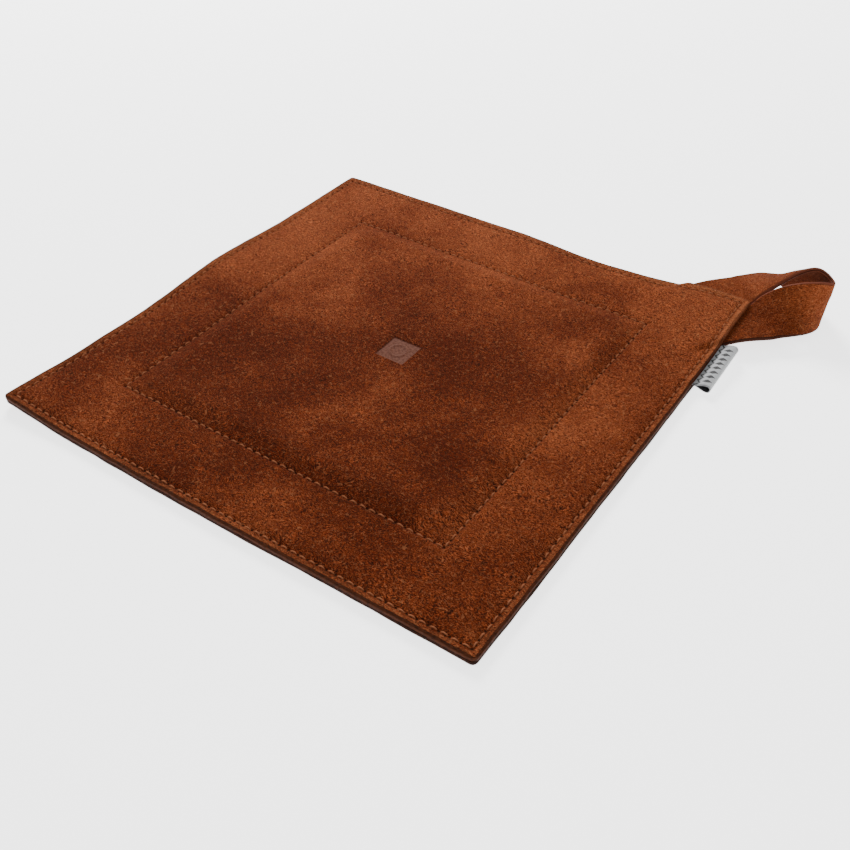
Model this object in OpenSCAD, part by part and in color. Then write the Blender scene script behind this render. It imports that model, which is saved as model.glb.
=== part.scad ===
// A square suede pad: two panels sewn round an insulating felt, with a strap loop and a folded woven label.
// Millimetres, +Z up. The origin is the centre of the pad's underside, on the surface that it lies on.
// The pad's edges run along X and Y. The strap leaves the corner at +X +Y, which lifts a little.

/* [Pad] */
// Length of each side of the pad
pad_side = 200; // [190:1:210]
// Thickness of the suede, in the panels and the strap
suede_t = 1.7; // [1.5:0.1:1.8]
// Radius of the pad's corners seen from above
corner_r = 2; // [1:0.5:4]
// Height to which the strap corner lifts
corner_lift = 3.2; // [2:0.1:4]

/* [Filling] */
// Length of each side of the felt at its base
felt_side = 136; // [130:1:136]
// Thickness of the felt
felt_t = 1.6; // [1:0.1:2]
// Width of the felt's sloping border
felt_slope = 9; // [6:1:12]

/* [Seams] */
// Distance from the pad's edge to the edge seam
edge_inset = 3; // [2.8:0.1:3.5]
// Length of each side of the square seam round the felt
centre_seam_side = 140; // [139:0.5:144]
// Aimed length of one stitch
stitch_pitch = 3.66; // [3.5:0.02:4.2]
// Width of the sewing thread
thread_w = 0.7; // [0.5:0.05:0.75]
// Width of a hole made by the needle
needle_hole = 1.1; // [1:0.05:1.15]
// Depth to which the stitches sink into the suede
groove_depth = 0.5; // [0.5:0.05:0.6]

/* [Strap] */
// Width of the strap
strap_w = 19.8; // [19:0.1:19.8]
// Distance from the centre, along the diagonal, at which the strap's sewn-in ends stop
tail_end_s = 110; // [109:0.5:112]

/* [Label] */
// Thickness of the woven ribbon
ribbon_t = 0.35; // [0.3:0.05:0.4]
// How far the folded label stands out from the pad
label_reach = 6.6; // [5.5:0.1:7]
// Height of the open fold
label_fold_h = 3; // [2.6:0.1:3.2]
// Length of ribbon sewn in behind the pad's edge
label_tail = 5; // [4:0.5:6]
// Position along the pad's edge at which the label starts
label_from = 45.5; // [44:0.5:47]
// Position along the pad's edge at which the label ends
label_to = 71; // [69:0.5:71]

/* [Stamp] */
// Length of each side of the stamped square
stamp_side = 12.4; // [11:0.2:14]
// Depth of the stamp
stamp_depth = 0.5; // [0.3:0.1:0.7]

/* [Hidden] */

root2 = sqrt(2);
half = pad_side / 2;
tip_s = half * root2;              // the strap corner's distance from the centre
gap = 0.03;                        // air left between pieces that lie on each other
pad_t = 2 * suede_t + gap;         // thickness where only the two panels lie on each other
edge_half = half - edge_inset;
centre_half = centre_seam_side / 2;
groove_w = thread_w + 0.5;
far = 2 * pad_side;                // further than the pad reaches

suede = [0.53, 0.27, 0.13];
felt = [0.72, 0.68, 0.6];
tan_thread = [0.66, 0.4, 0.24];
grey_ribbon = [0.72, 0.73, 0.74];

// ---- The lifted corner: heights depend only on s, the distance from the centre along the diagonal ----

lift_from = 109;                   // s where the corner starts to lift
lift_to = 134;                     // and where it is level again
part_from = 106;                   // s where the panels start to part round the strap
part_to = 126;                     // and where they have parted by the strap's full thickness
stations = [part_from, lift_from, 113, 117, 121.5, part_to, 130, lift_to, far];

function smooth(t) = let (c = min(1, max(0, t))) c * c * (3 - 2 * c);
lift_table = [for (s = stations) [s, corner_lift * smooth((s - lift_from) / (lift_to - lift_from))]];

// Height to which the pad's underside has lifted at s
function lift(s) = lookup(s, lift_table);

// Distance between the two panels at s: a sliver of air, and the strap where it is sewn in
function parting(s) = lookup(s, [[part_from, gap], [part_to, suede_t + 2 * gap]]);

// Height of the middle of the space between the panels
function slot_z(s) = suede_t + parting(s) / 2 + lift(s);

// The point at s along the diagonal, v across it and height z
function at(s, v, z) = [(s - v) / root2, (s + v) / root2, z];

// A sheet over the whole pad that follows the lifted corner. At s its underside is z0 and its top is z1
// above the lift, each raised by a share, p0 or p1, of the parting.
module lifted_sheet(z0, z1, p0, p1) {
    all = concat([-far], stations);
    under = [for (s = all) [s, z0 + p0 * parting(s) + lift(s)]];
    over = [for (i = [len(all) - 1 : -1 : 0]) [all[i], z1 + p1 * parting(all[i]) + lift(all[i])]];
    rotate([90, 0, 45]) translate([0, 0, -far]) linear_extrude(2 * far) polygon(concat(under, over));
}

// ---- Plan shapes ----

function corner_arc(c, from) = [for (a = [from : 15 : from + 90]) c + corner_r * [cos(a), sin(a)]];

module pad_outline() {
    c = half - corner_r;
    polygon(concat(corner_arc([c, c], 0), corner_arc([-c, c], 90), corner_arc([-c, -c], 180),
        corner_arc([c, -c], 270)));
}

module square_frame(h, w) {
    difference() {
        square(2 * h + w, center = true);
        square(2 * h - w, center = true);
    }
}

function stitch_count(h) = round(2 * h / stitch_pitch);
function stitch_at(h, i) = -h + i * 2 * h / stitch_count(h);

// The needle holes of a square seam, once round
module seam_holes(h) {
    for (turn = [0 : 90 : 270], i = [0 : stitch_count(h) - 1])
        rotate(turn) translate([stitch_at(h, i), h]) square(needle_hole, center = true);
}

strap_gap = 0.2;                   // half the gap between the strap's two ends, side by side

// The strap's two ends in plan, from one s to another, with spare material all round
module strap_strips(from, to, spare) {
    for (v = [strap_gap, -strap_gap - strap_w])
        rotate(45) translate([from, v - spare]) square([to - from, strap_w + 2 * spare]);
}

// ---- Panels and felt ----

module seam_groove(h, z0, z1, share) {
    intersection() {
        lifted_sheet(z0, z1, share, share);
        translate([0, 0, -1]) linear_extrude(20) square_frame(h, groove_w);
    }
}

// A panel with its needle holes. share is 0 for the bottom panel and 1 for the top one.
module panel(z0, z1, share) {
    intersection() {
        lifted_sheet(z0, z1, share, share);
        translate([0, 0, -1]) linear_extrude(20) difference() {
            pad_outline();
            seam_holes(edge_half);
            seam_holes(centre_half);
        }
    }
}

// A low truncated pyramid with its base at height z
module mound(side, t, z) {
    top = side - 2 * felt_slope;
    sliver = 0.01;
    hull() {
        translate([-side / 2, -side / 2, z]) cube([side, side, sliver]);
        translate([-top / 2, -top / 2, z + t - sliver]) cube([top, top, sliver]);
    }
}

module bottom_panel() color(suede) difference() {
    panel(0, suede_t, 0);
    seam_groove(edge_half, -1, groove_depth, 0);
    seam_groove(centre_half, -1, groove_depth, 0);
    label_slab(gap);
}

sink = 0.01;                       // how far the raised centre is sunk into the panel under it
dome_lap = 1.6;                    // how much wider than the felt the raised centre is

module top_panel() color(suede) difference() {
    union() {
        panel(suede_t, 2 * suede_t, 1);
        mound(felt_side + dome_lap, felt_t, pad_t - sink);
    }
    mound(felt_side, felt_t, suede_t - sink);
    seam_groove(edge_half, 2 * suede_t - groove_depth, 2 * suede_t + 2, 1);
    seam_groove(centre_half, 2 * suede_t - groove_depth, 2 * suede_t + 2, 1);
    label_slab(gap);
    stamp();
}

module insulating_felt() color(felt) mound(felt_side - 1, felt_t - 0.1, suede_t + gap);

stamp_place = [1, 1];

// The stamped square, with a plain ring left standing in it
module stamp() {
    translate([stamp_place.x, stamp_place.y, pad_t + felt_t - sink - stamp_depth]) difference() {
        linear_extrude(2) square(stamp_side, center = true);
        difference() {
            cylinder(r = stamp_side * 0.32, h = stamp_depth * 0.6, $fn = 48);
            translate([0, 0, -1]) cylinder(r = stamp_side * 0.22, h = 3, $fn = 48);
        }
    }
}

// ---- Threads ----

thread_lie = 0.12;                 // air between a stitch and the groove's floor
stitch_dip = 0.25;                 // height of a thread over the floor where it enters a hole
lock_gap = 0.08;                   // half the air between the two threads where they lock
needle_bar = groove_depth + 0.1;   // height of the upper stitches over the floor: they stand proud
bobbin_bar = groove_depth - 0.1;   // height of the lower ones: they lie clear of the table

// One side of a seam in profile: bars between the holes and a leg down each hole. base(s) is the groove's
// floor, mid(s) the place where the two threads lock, and dir the way outwards. side is 1 for the two
// sides that meet at the strap corner and -1 for the other two.
module stitch_profile(h, side, base, mid, dir, bar) {
    leg = needle_hole / 2 - 0.2;
    slope = leg + 0.3;
    n = stitch_count(h);
    function s_at(u) = (u + side * h) / root2;
    function floor_z(u, over) = base(s_at(u)) + dir * over;
    inner = [for (i = [0 : n], p = [[-leg, 0], [-leg, 1], [leg, 1], [leg, 0]])
        let (u = stitch_at(h, i) + p[0])
        [u, p[1] == 1 ? mid(s_at(u)) + dir * lock_gap : floor_z(u, thread_lie)]];
    outer = [for (i = [n : -1 : 0], k = [slope, 0, -slope])
        let (u = stitch_at(h, i) + k)
        if (abs(u) <= h) [u, floor_z(u, k == 0 ? stitch_dip : bar)]];
    polygon(concat(inner, [[h + leg, floor_z(h + leg, stitch_dip)]], outer,
        [[-h - leg, floor_z(-h - leg, stitch_dip)]]));
}

// A square seam's thread, once round
module seam_thread(h, base, mid, dir, bar) {
    for (turned = [false, true], side = [1, -1])
        multmatrix(turned ? [[0, 1, 0], [1, 0, 0], [0, 0, 1]] : [[1, 0, 0], [0, 1, 0], [0, 0, 1]])
            translate([0, side * h + thread_w / 2, 0]) rotate([90, 0, 0])
                linear_extrude(thread_w) stitch_profile(h, side, base, mid, dir, bar);
}

top_base = function (s) 2 * suede_t - groove_depth + parting(s) + lift(s);
bottom_base = function (s) groove_depth + lift(s);
lock = function (s) slot_z(s);

module edge_needle_thread() color(tan_thread) seam_thread(edge_half, top_base, lock, 1, needle_bar);
module edge_bobbin_thread() color(tan_thread) seam_thread(edge_half, bottom_base, lock, -1, bobbin_bar);
module centre_needle_thread() color(tan_thread) seam_thread(centre_half, top_base, lock, 1, needle_bar);
module centre_bobbin_thread() color(tan_thread) seam_thread(centre_half, bottom_base, lock, -1, bobbin_bar);

// ---- Strap ----

// The strap's free length, as straight lines across it from its upper edge to its lower edge.
// Each end of a line is [beyond the tip along the diagonal, across it, height].
loop_upper = [[4, 0.2, 10.3], [10, -0.8, 15.7], [16, -1.8, 20.1], [21.2, -3.4, 22.4], [24.4, -5.4, 21.8],
    [26.2, -8.2, 20.2], [25.2, -11, 20.4], [20.4, -10.8, 21.2], [15.2, -8.2, 20.1], [9.6, -4.8, 16.8],
    [4, -1, 11.2]];
loop_lower = [[4, 20, 6.6], [14.2, 17.2, 8], [19.4, 11.4, 5], [25.4, 7.4, 4.6], [28.6, 3, 3.8],
    [28.4, -2.2, 2.4], [26, -7.4, 1.5], [22.2, -12.8, 1.4], [17, -17, 2.6], [10.4, -20, 4.4],
    [4, -20.4, 4.9]];
rings_per_span = 2;

// A point on the smooth curve through the list, t running from 0 to the number of spans
function spline(pts, t) = let (
        last = len(pts) - 1,
        i = min(last - 1, floor(t)),
        f = t - i,
        p1 = pts[i],
        p2 = pts[i + 1],
        p0 = i > 0 ? pts[i - 1] : 2 * p1 - p2,
        p3 = i + 2 <= last ? pts[i + 2] : 2 * p2 - p1)
    0.5 * (2 * p1 + (p2 - p0) * f + (2 * p0 - 5 * p1 + 4 * p2 - p3) * f * f
        + (3 * p1 - p0 - 3 * p2 + p3) * f * f * f);

function unit(v) = v / norm(v);

// Triangles of a tube of n four-cornered rings with closed ends
function tube_faces(n) = concat([[0, 2, 1], [0, 3, 2]],
    [for (k = [0 : n - 2], j = [0 : 3]) let (a = 4 * k + j, b = 4 * k + (j + 1) % 4)
        each [[a, b, b + 4], [a, b + 4, a + 4]]],
    [let (e = 4 * (n - 1)) each [[e, e + 1, e + 2], [e, e + 2, e + 3]]]);

module hang_loop() color(suede) {
    steps = (len(loop_upper) - 1) * rings_per_span;
    upper = [for (k = [0 : steps]) spline(loop_upper, k / rings_per_span)];
    lower = [for (k = [0 : steps]) spline(loop_lower, k / rings_per_span)];
    rings = [for (k = [0 : steps]) let (
            a = max(0, k - 1),
            b = min(steps, k + 1),
            along = upper[b] + lower[b] - upper[a] - lower[a],
            side = unit(cross(along, lower[k] - upper[k])) * suede_t / 2)
        each [upper[k] + side, lower[k] + side, lower[k] - side, upper[k] - side]];
    points = [for (p = rings) at(tip_s + p[0], p[1], p[2])];
    polyhedron(points, tube_faces(steps + 1), convexity = 6);
}

tail_lap = 1;                      // how far the sewn-in ends come out of the pad before they spread
tail_stop = 0.5;                   // the ends stop this far beyond the tip, short of the bending line

// The three-cornered stretch of strap between the pad's edge and the bending line
module tail_wedge(side, outer_z) {
    clear = half + tail_lap / 2;
    edge_s = clear * root2 - strap_gap - strap_w;
    near_s = clear * root2 - 1;
    stop_s = tip_s + tail_stop;
    corners = [at(stop_s, side * strap_gap, slot_z(tip_s) + 0.4),
        at(stop_s, side * (strap_gap + strap_w), outer_z),
        at(edge_s, side * (strap_gap + strap_w), slot_z(edge_s)),
        at(near_s, side, slot_z(near_s))];
    hull() for (c = corners, up = [-1, 1]) translate(c + [0, 0, up * suede_t / 2]) cube(0.02, center = true);
}

module loop_tails() color(suede) {
    intersection() {
        lifted_sheet(suede_t + gap, suede_t - gap, 0, 1);
        translate([0, 0, -1]) linear_extrude(20) difference() {
            intersection() {
                square(2 * (half + tail_lap), center = true);
                strap_strips(tail_end_s, tip_s + tail_stop, 0);
            }
            seam_holes(edge_half);
        }
    }
    tail_wedge(1, 6.3);
    tail_wedge(-1, 4.6);
}

// ---- Label ----

label_w = label_to - label_from;
label_mid = (label_from + label_to) / 2;
label_low = slot_z((half + label_from) / root2);
label_high = slot_z((half + label_to) / root2);
label_tilt = atan((label_high - label_low) / label_w);
tab_gap = 0.9;                     // left open at the pad's edge, so that the label can swing

// Places its children in the label's frame: X out from the pad's edge, Y along it, Z up
module label_frame() {
    translate([half, label_mid, (label_low + label_high) / 2]) rotate([label_tilt, 0, 0]) children();
}

// The ribbon's two ends, one on the other between the panels, with spare material all round
module label_slab(spare) {
    label_frame() translate([-label_tail - spare, -label_w / 2 - spare, -ribbon_t - spare])
        cube([label_tail + 2 * spare, label_w + 2 * spare, 2 * (ribbon_t + spare)]);
}

module label_tails() color(grey_ribbon) difference() {
    label_slab(0);
    translate([0, 0, -1]) linear_extrude(20) {
        seam_holes(edge_half);
        strap_strips(tail_end_s - 1, tip_s, 0.3);
    }
}

fold_reach = label_reach - tab_gap - label_fold_h / 2;

// Half the height of the folded ribbon at a share f of the way out
function fold_h(f) = ribbon_t + (label_fold_h / 2 - ribbon_t) * sin(90 * pow(f, 1.3));

// Outline of the fold, at a distance inside its outer surface
function fold_outline(inside) = let (
        n = 8,
        r = label_fold_h / 2 - inside,
        side = function (dir, f) [f * fold_reach, dir * (fold_h(f) - inside)])
    concat([for (i = [0 : n]) side(1, i / n)],
        [for (a = [75 : -15 : -75]) [fold_reach + r * cos(a), r * sin(a)]],
        [for (i = [n : -1 : 0]) side(-1, i / n)]);

module label_tab() color(grey_ribbon)
    label_frame() translate([tab_gap, label_w / 2, 0]) rotate([90, 0, 0]) linear_extrude(label_w)
        difference() {
            polygon(fold_outline(0));
            intersection() {
                polygon(fold_outline(ribbon_t));
                translate([0.8, -10]) square(20);
            }
        }

bottom_panel();
top_panel();
insulating_felt();
loop_tails();
hang_loop();
label_tails();
label_tab();
edge_needle_thread();
edge_bobbin_thread();
centre_needle_thread();
centre_bobbin_thread();
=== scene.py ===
import math

import bmesh
import bpy
import numpy as np
from mathutils import Matrix, Vector


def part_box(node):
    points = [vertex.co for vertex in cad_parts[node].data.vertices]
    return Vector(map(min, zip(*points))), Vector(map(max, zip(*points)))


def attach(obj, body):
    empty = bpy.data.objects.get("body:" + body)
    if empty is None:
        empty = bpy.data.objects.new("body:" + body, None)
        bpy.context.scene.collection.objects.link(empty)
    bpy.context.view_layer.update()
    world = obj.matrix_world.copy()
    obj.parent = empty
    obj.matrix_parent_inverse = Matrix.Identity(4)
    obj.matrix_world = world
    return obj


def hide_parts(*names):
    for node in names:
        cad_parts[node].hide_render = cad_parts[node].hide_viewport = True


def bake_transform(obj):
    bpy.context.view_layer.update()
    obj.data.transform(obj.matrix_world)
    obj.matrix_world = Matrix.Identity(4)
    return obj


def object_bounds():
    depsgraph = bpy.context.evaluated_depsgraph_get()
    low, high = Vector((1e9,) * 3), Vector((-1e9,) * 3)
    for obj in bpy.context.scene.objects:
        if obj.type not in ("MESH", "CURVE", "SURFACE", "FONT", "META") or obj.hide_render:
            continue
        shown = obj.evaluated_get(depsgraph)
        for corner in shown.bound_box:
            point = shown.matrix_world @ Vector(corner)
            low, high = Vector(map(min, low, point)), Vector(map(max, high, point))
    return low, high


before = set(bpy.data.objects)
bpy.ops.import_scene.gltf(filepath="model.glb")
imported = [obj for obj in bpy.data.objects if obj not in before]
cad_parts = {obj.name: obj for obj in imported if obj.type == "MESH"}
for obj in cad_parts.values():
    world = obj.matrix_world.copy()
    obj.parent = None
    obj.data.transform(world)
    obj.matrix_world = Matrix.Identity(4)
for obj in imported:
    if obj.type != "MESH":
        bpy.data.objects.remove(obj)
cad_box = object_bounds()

# A square suede pad with a padded centre, a strap loop at one corner and a folded woven label.
# Shapes are worked out in millimetres and written to the meshes in metres. s is the distance from the
# pad's centre along the diagonal through the strap, and v the distance across that diagonal.

MM = 0.001
ROOT2 = math.sqrt(2)

# ---- Sizes shared with the CAD model ----

HALF = float(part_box("bottom_panel")[1][0]) / MM      # half of the pad's side
TIP = HALF * ROOT2                 # the strap corner's distance from the centre
SUEDE = 1.7                        # thickness of the suede
CORNER_R = 2.0                     # radius of the pad's corners
AIR = 0.03                         # air between the panels
EDGE_SEAM, EDGE_STITCHES = HALF - 3, 53        # half of a seam's square, and the stitches along a side
CENTRE_SEAM, CENTRE_STITCHES = 70.0, 38
FELT_T = 1.6                       # thickness of the felt
LIFT, LIFT_FROM, LIFT_OVER = 3.2, 109.0, 25.0  # the strap corner's rise, from which s, over what distance
STAMP_AT, STAMP_SIDE, STAMP_DEPTH = (1.0, 1.0), 12.4, 0.45
STRAP_W, STRAP_GAP = 19.8, 0.2     # the strap's width, and half the gap between its two sewn-in ends
STRAP_IN = 110.0                   # s at which the strap's sewn-in ends stop
LABEL_FROM, LABEL_TO = 46.7, 72.2  # the label's place along the right edge
LABEL_REACH, LABEL_IN = 6.6, 4.9   # how far it stands out from the edge, and how far it is sewn in
RIBBON_T = 0.35                    # thickness of its ribbon

# How far each edge of the pad bows outward, at places along it: it was cut by hand
RIGHT_BOW = [(-100, 0.5), (-30, 0.3), (45, -0.1), (100, 0)]
LEFT_BOW = [(-100, 0.6), (-60, 0.8), (-35, 0.4), (12, 1.8), (55, 0.5), (100, -0.1)]
BACK_BOW = [(-100, 2.1), (-5, 2.3), (32, -0.2), (62, 1.5), (100, 0)]
FRONT_BOW = [(-100, 0.1), (-10, 0.9), (60, 0.2), (100, -0.2)]

# The left edge's slack wave: its height, its place along the edge, its half length and how far in it reaches
LEFT_WAVE, LEFT_WAVE_AT, LEFT_WAVE_HALF, LEFT_WAVE_IN = 1.3, 10.0, 26.0, 28.0
LEFT_CORNER, LEFT_CORNER_OVER = 1.7, 34.0      # how far the left corner curls up, and over what distance

# Where the panels part for the strap's ends and for the label, with the widths over which they close again
STRAP_POCKET_FROM, STRAP_POCKET_OVER = 107.0, 8.0
STRAP_POCKET_SIDE, STRAP_POCKET_FADE = 21.9, 3.4
LABEL_POCKET, LABEL_POCKET_FADE = 0.72, 2.4
LABEL_POCKET_IN, LABEL_POCKET_FROM, LABEL_POCKET_TO = 93.8, 43.4, 73.1

# The stitches' pull on the leather: a narrow groove, a shallow trough round it and a dimple at each hole
GROOVE, GROOVE_W = 0.34, 0.95
TROUGH, EDGE_TROUGH_W, CENTRE_TROUGH_W = 0.2, 2.4, 2.6
DIMPLE, DIMPLE_W = 0.4, 0.62
RIM_FALL, RIM_W = 0.04, 2.4                    # the pressed rim's drop and width
BEVEL, BEVEL_W = 0.16, 0.6                     # the worn corner of the cut edge
SQUARENESS = 14                                # power of the rounded square that the dome follows
DOME_RISE = 9.5                                # width of the slope inside the centre seam
ROLL, ROLL_AT, ROLL_W = 0.3, 6.5, 3.6          # a fuller roll beside the seam
SAG, SAG_FROM, SAG_OVER = 0.12, 14.0, 30.0     # the hollow in the middle
RING_OUTER, RING_INNER = 0.32, 0.22            # radii of the stamp's plain ring, as shares of its side
RING_STANDS = 0.6                              # how far the ring is left standing, as a share of the depth
STAMP_DENT, STAMP_DENT_W = 0.14, 2.2           # the leather pressed down round the stamp
BORDER_RISE = 0.16                             # how proud the border stands between the seams

# Unevenness, each with the size of its humps
RIPPLE, RIPPLE_CELL = 0.17, 26.0               # of the faces
SMALL_RIPPLE, SMALL_RIPPLE_CELL = 0.07, 8.0
WANDER, WANDER_CELL = 0.15, 40.0               # of the plan
RAGGED, RAGGED_CELL = 0.14, 7.0                # of the plan beside the cut edge


# ---- Small tools ----

def smooth(t):
    t = np.clip(t, 0, 1)
    return t * t * (3 - 2 * t)


def mix(a, b, t):
    return a + (b - a) * t


def bell(d, width):
    return np.exp(-(d / width) ** 2)


def noise(x, y, cell, seed):
    """Smooth noise from -1 to 1 over the plane, about one hump to a cell."""
    table = np.random.RandomState(seed).uniform(-1, 1, (64, 64))
    u, w = np.asarray(x) / cell + 31.7, np.asarray(y) / cell + 17.3
    i, j = np.floor(u).astype(int), np.floor(w).astype(int)
    f, g = smooth(u - i), smooth(w - j)
    i, j, k, m = i % 64, j % 64, (i + 1) % 64, (j + 1) % 64
    return mix(mix(table[i, j], table[k, j], f), mix(table[i, m], table[k, m], f), g)


def build(name, points, faces, material, attributes=(), uv=None, other=None):
    """A smooth-shaded mesh object from points in millimetres. uv gives a pair for each point, and other a
    second material with the faces that take it."""
    mesh = bpy.data.meshes.new(name)
    mesh.from_pydata((np.asarray(points) * MM).tolist(), [], faces)
    for key, values in dict(attributes).items():
        mesh.attributes.new(key, "FLOAT", "POINT").data.foreach_set("value", np.asarray(values, np.float32))
    if uv is not None:
        corner = np.zeros(len(mesh.loops), np.int32)
        mesh.loops.foreach_get("vertex_index", corner)
        mesh.uv_layers.new(name="plan").data.foreach_set("uv", np.asarray(uv, np.float32)[corner].ravel())
    mesh.materials.append(material)
    if other:
        mesh.materials.append(other[0])
        for i in other[1]:
            mesh.polygons[i].material_index = 1
    work = bmesh.new()
    work.from_mesh(mesh)
    bmesh.ops.recalc_face_normals(work, faces=work.faces)
    work.to_mesh(mesh)
    work.free()
    mesh.polygons.foreach_set("use_smooth", [True] * len(mesh.polygons))
    piece = bpy.data.objects.new(name, mesh)
    bpy.context.scene.collection.objects.link(piece)
    return piece


def tube_faces(rings, sides, first=0, caps=True):
    """Faces of a tube of rings, one after another, with its ends closed."""
    faces = [[first + r * sides + j, first + r * sides + (j + 1) % sides,
              first + (r + 1) * sides + (j + 1) % sides, first + (r + 1) * sides + j]
             for r in range(rings - 1) for j in range(sides)]
    if caps:
        faces.append([first + j for j in range(sides)][::-1])
        faces.append([first + (rings - 1) * sides + j for j in range(sides)])
    return faces


# ---- The pad's surfaces ----

def lift(s):
    """How far the strap's corner curls up."""
    return LIFT * smooth((s - LIFT_FROM) / LIFT_OVER)


def diagonal(x, y):
    """s and v of a point."""
    return (x + y) / ROOT2, (y - x) / ROOT2


def apart(x, y):
    """Distance between the panels: air, or the strap or label that lies between them."""
    s, v = diagonal(x, y)
    strap = ((SUEDE + AIR) * smooth((s - STRAP_POCKET_FROM) / STRAP_POCKET_OVER)
             * smooth((STRAP_POCKET_SIDE - np.abs(v)) / STRAP_POCKET_FADE))
    label = (LABEL_POCKET * smooth((x - LABEL_POCKET_IN) / LABEL_POCKET_FADE)
             * smooth((y - LABEL_POCKET_FROM) / LABEL_POCKET_FADE)
             * smooth((LABEL_POCKET_TO - y) / LABEL_POCKET_FADE))
    return AIR + np.maximum(strap, label)


def underside(x, y):
    """Height of the pad's underside: the strap corner, and less so the left edge and corner, curl up."""
    wave = (LEFT_WAVE * smooth((LEFT_WAVE_IN - HALF - x) / LEFT_WAVE_HALF)
            * bell(y - LEFT_WAVE_AT, LEFT_WAVE_HALF))
    curl = LEFT_CORNER * smooth(1 - np.hypot(x + HALF, y + HALF) / LEFT_CORNER_OVER)
    return lift(diagonal(x, y)[0]) + wave + curl


def slot(x, y):
    """Height of the middle of the space between the panels."""
    return SUEDE + apart(x, y) / 2 + underside(x, y)


def out(x, y):
    """Half the side of the square round the pad's centre that passes through a point."""
    return np.maximum(np.abs(x), np.abs(y))


def holes(x, y, half, count):
    """1 in a square seam's needle holes, fading to 0 round them."""
    pitch = 2 * half / count
    t = (half - np.minimum(np.abs(x), np.abs(y))) / pitch
    far_off = np.abs(t - np.round(t)) * pitch
    return bell(np.hypot(out(x, y) - half, far_off), DIMPLE_W)


def seams(x, y):
    """1 on the two seams, fading to 0 beside them."""
    return np.maximum(bell(out(x, y) - EDGE_SEAM, GROOVE_W), bell(out(x, y) - CENTRE_SEAM, GROOVE_W))


def sewn(x, y, dimples):
    """How far the stitches pull a face in."""
    trough = np.maximum(bell(out(x, y) - EDGE_SEAM, EDGE_TROUGH_W),
                        bell(out(x, y) - CENTRE_SEAM, CENTRE_TROUGH_W))
    deep = GROOVE * seams(x, y) + TROUGH * trough
    if dimples:
        deep = deep + DIMPLE * np.maximum(holes(x, y, EDGE_SEAM, EDGE_STITCHES),
                                          holes(x, y, CENTRE_SEAM, CENTRE_STITCHES))
    return deep


def rim(x, y):
    """How far the pressed and bevelled rim falls towards the cut edge."""
    from_edge = HALF - out(x, y)
    return (RIM_FALL * (1 - smooth(from_edge / RIM_W))
            + BEVEL * np.clip(1 - from_edge / BEVEL_W, 0, 1) ** 2)


def dome(x, y):
    """The centre, raised by the felt, fullest just inside the seam."""
    inside = CENTRE_SEAM - (np.abs(x) ** SQUARENESS + np.abs(y) ** SQUARENESS) ** (1 / SQUARENESS)
    full = FELT_T * smooth((inside + 0.4) / DOME_RISE) ** 0.9
    return full + ROLL * bell(inside - ROLL_AT, ROLL_W) - SAG * smooth((inside - SAG_FROM) / SAG_OVER)


def in_stamp(x, y, soft=0.35):
    """1 inside the stamped square, fading to 0 over a border of this width."""
    d = out(x - STAMP_AT[0], y - STAMP_AT[1])
    return smooth((STAMP_SIDE / 2 + soft / 2 - d) / soft)


def stamp(x, y):
    """Depth of the stamped square, which leaves a plain ring standing."""
    r = np.hypot(x - STAMP_AT[0], y - STAMP_AT[1])
    ring = smooth((STAMP_SIDE * RING_OUTER - r) / 0.4) * smooth((r - STAMP_SIDE * RING_INNER) / 0.4)
    beyond = np.maximum(out(x - STAMP_AT[0], y - STAMP_AT[1]) - STAMP_SIDE / 2, 0)
    dent = STAMP_DENT * bell(beyond, STAMP_DENT_W) * (1 - in_stamp(x, y))
    return STAMP_DEPTH * in_stamp(x, y) * (1 - RING_STANDS * ring) + dent


def ripples(x, y, seed):
    """Gentle unevenness of the hide, calm where it is sewn down."""
    free = smooth(np.abs(out(x, y) - EDGE_SEAM) / 9) * smooth(np.abs(out(x, y) - CENTRE_SEAM) / 6)
    broad = RIPPLE * noise(x, y, RIPPLE_CELL, seed)
    small = SMALL_RIPPLE * noise(x, y, SMALL_RIPPLE_CELL, seed + 1)
    return (broad + small) * (0.25 + 0.75 * free)


def top_face(x, y, dimples=True):
    """Height of the upper panel's outer face. The border between the seams stands a little proud."""
    between = smooth((out(x, y) - CENTRE_SEAM) / 8) * smooth((EDGE_SEAM - out(x, y)) / 8)
    return (2 * SUEDE + apart(x, y) + underside(x, y) + dome(x, y) + BORDER_RISE * between
            - sewn(x, y, dimples) - rim(x, y) - stamp(x, y) + ripples(x, y, 3))


def bottom_face(x, y, dimples=True):
    """Height of the lower panel's outer face, which ripples upward only, because it lies on a surface."""
    waves = 0.5 * (RIPPLE + SMALL_RIPPLE + ripples(x, y, 9)) * smooth((HALF - out(x, y) - 1) / 6)
    return underside(x, y) + sewn(x, y, dimples) + rim(x, y) + waves


def bowed(t, bow):
    """The bow at t along an edge, eased between the places given."""
    at, by = np.array(bow, float).T
    t = np.clip(t, at[0], at[-1])
    k = np.clip(np.searchsorted(at, t) - 1, 0, len(at) - 2)
    return mix(by[k], by[k + 1], smooth((t - at[k]) / (at[k + 1] - at[k])))


def wander(x, y, seed):
    """Shift of the plan: hand-cut edges and seams are never quite straight."""
    right, left, back, front = (np.clip(a / HALF, 0, 1) ** 3 for a in (x, -x, y, -y))
    near_edge = smooth((out(x, y) - (HALF - 9)) / 8)
    dx = right * bowed(y, RIGHT_BOW) - left * bowed(y, LEFT_BOW)
    dy = back * bowed(x, BACK_BOW) - front * bowed(x, FRONT_BOW)
    dx = dx + WANDER * noise(y, x, WANDER_CELL, 21) + RAGGED * near_edge * noise(y, x, RAGGED_CELL, seed)
    dy = dy + WANDER * noise(x, y, WANDER_CELL, 22) + RAGGED * near_edge * noise(x, y, RAGGED_CELL, seed + 1)
    return dx, dy


FINE_STEP, COARSE_STEP = 0.41, 0.92
FINE_IN_MIDDLE, FINE_BY_SEAM, FINE_BY_EDGE = 7.8, 2.6, 6.2     # half widths of the fine parts


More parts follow.
